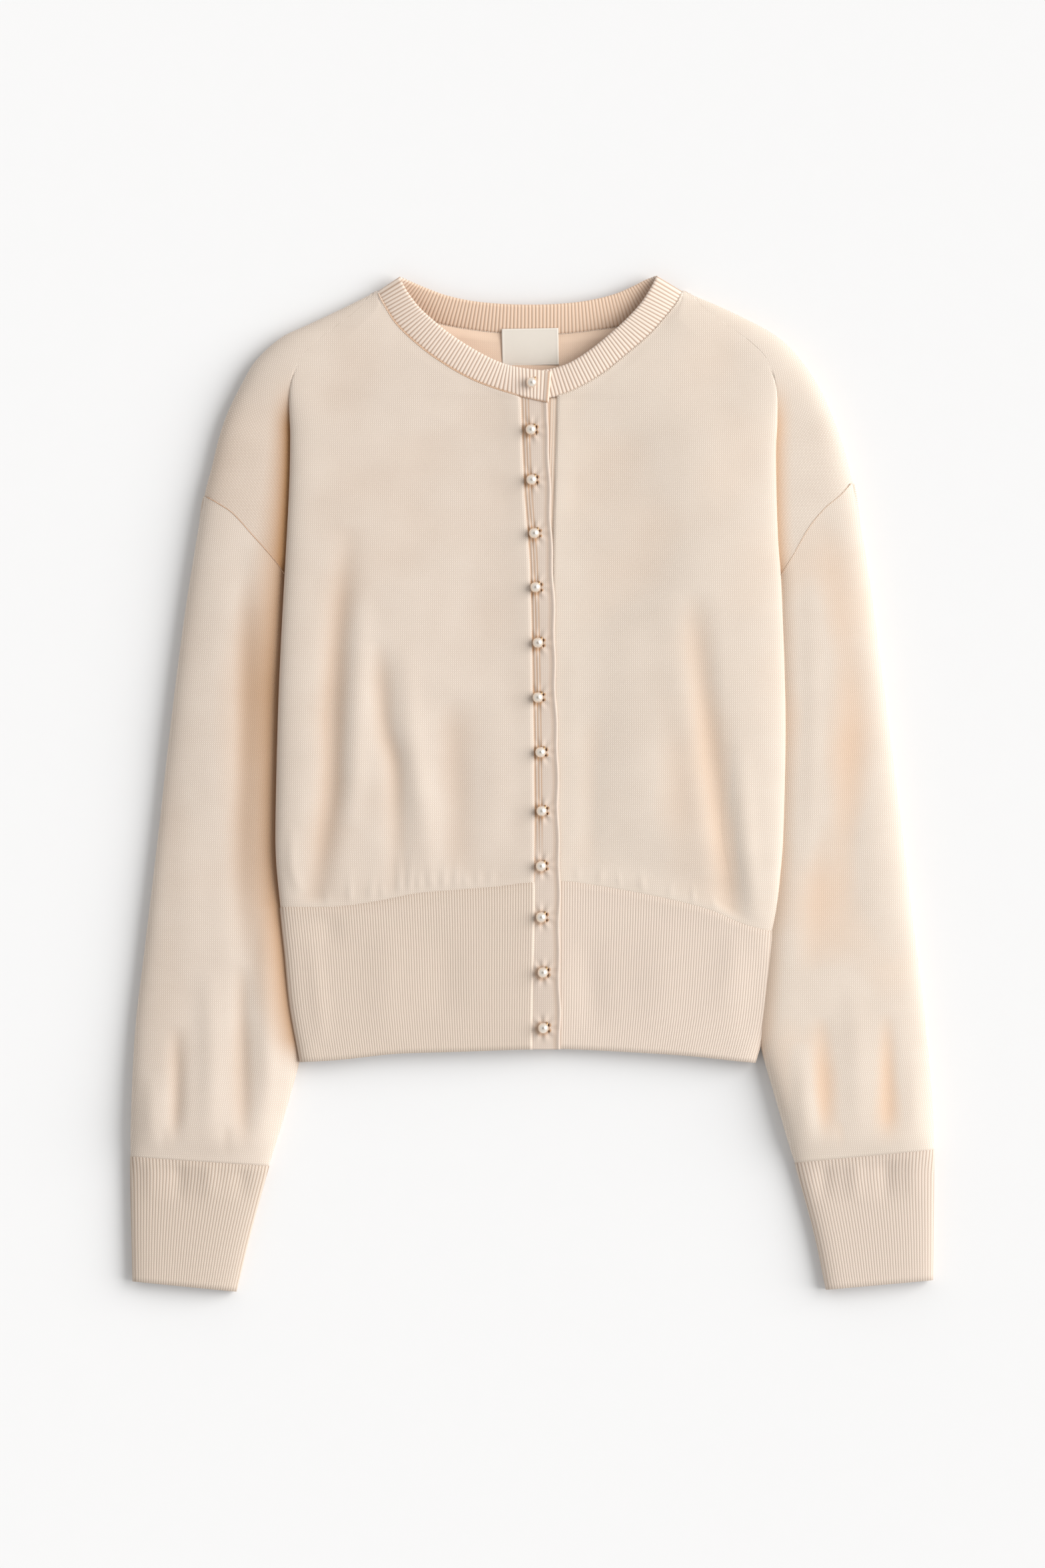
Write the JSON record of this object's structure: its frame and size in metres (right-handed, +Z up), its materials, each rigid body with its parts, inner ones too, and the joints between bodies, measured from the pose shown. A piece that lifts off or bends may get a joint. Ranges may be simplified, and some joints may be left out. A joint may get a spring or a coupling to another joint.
{
  "type": "button cardigan",
  "caption": "Fine-knit crew-neck button cardigan laid flat: drop shoulders, long sleeves, ribbed neckband, hem and cuffs, pearl shank buttons.",
  "frame": {"origin": "bottom centre of the garment's box, on the surface that it lies on", "axes": "+X across the garment towards the wearer's left sleeve, +Y from hem to collar, +Z up out of the front of the cardigan"},
  "size_m": [0.5276, 0.6699, 0.0233],
  "materials": {
    "jersey": "fine smooth viscose jersey with a faint sheen, pale peach",
    "rib": "one-by-one rib knit, pale peach",
    "label": "bare satin woven label, cream",
    "pearl": "ivory pearlescent gloss",
    "shank": "small polished gold-coloured loop"
  },
  "bodies": {
    "root": {"back_panel": "jersey", "front_right_panel": "jersey", "front_left_panel": "jersey", "sleeve_right": "jersey", "sleeve_left": "jersey", "buttonhole_band": "jersey", "button_band": "jersey", "hem_back": "rib", "hem_front_right": "rib", "hem_front_left": "rib", "cuff_right": "rib", "cuff_left": "rib", "neckband": "rib", "neck_label": "label", "pearl_01": "pearl", "pearl_02": "pearl", "pearl_03": "pearl", "pearl_04": "pearl", "pearl_05": "pearl", "pearl_06": "pearl", "pearl_07": "pearl", "pearl_08": "pearl", "pearl_09": "pearl", "pearl_10": "pearl", "pearl_11": "pearl", "pearl_12": "pearl", "pearl_13": "pearl", "shank_01": "shank", "shank_02": "shank", "shank_03": "shank", "shank_04": "shank", "shank_05": "shank", "shank_06": "shank", "shank_07": "shank", "shank_08": "shank", "shank_09": "shank", "shank_10": "shank", "shank_11": "shank", "shank_12": "shank", "shank_13": "shank"}
  },
  "joints": []
}
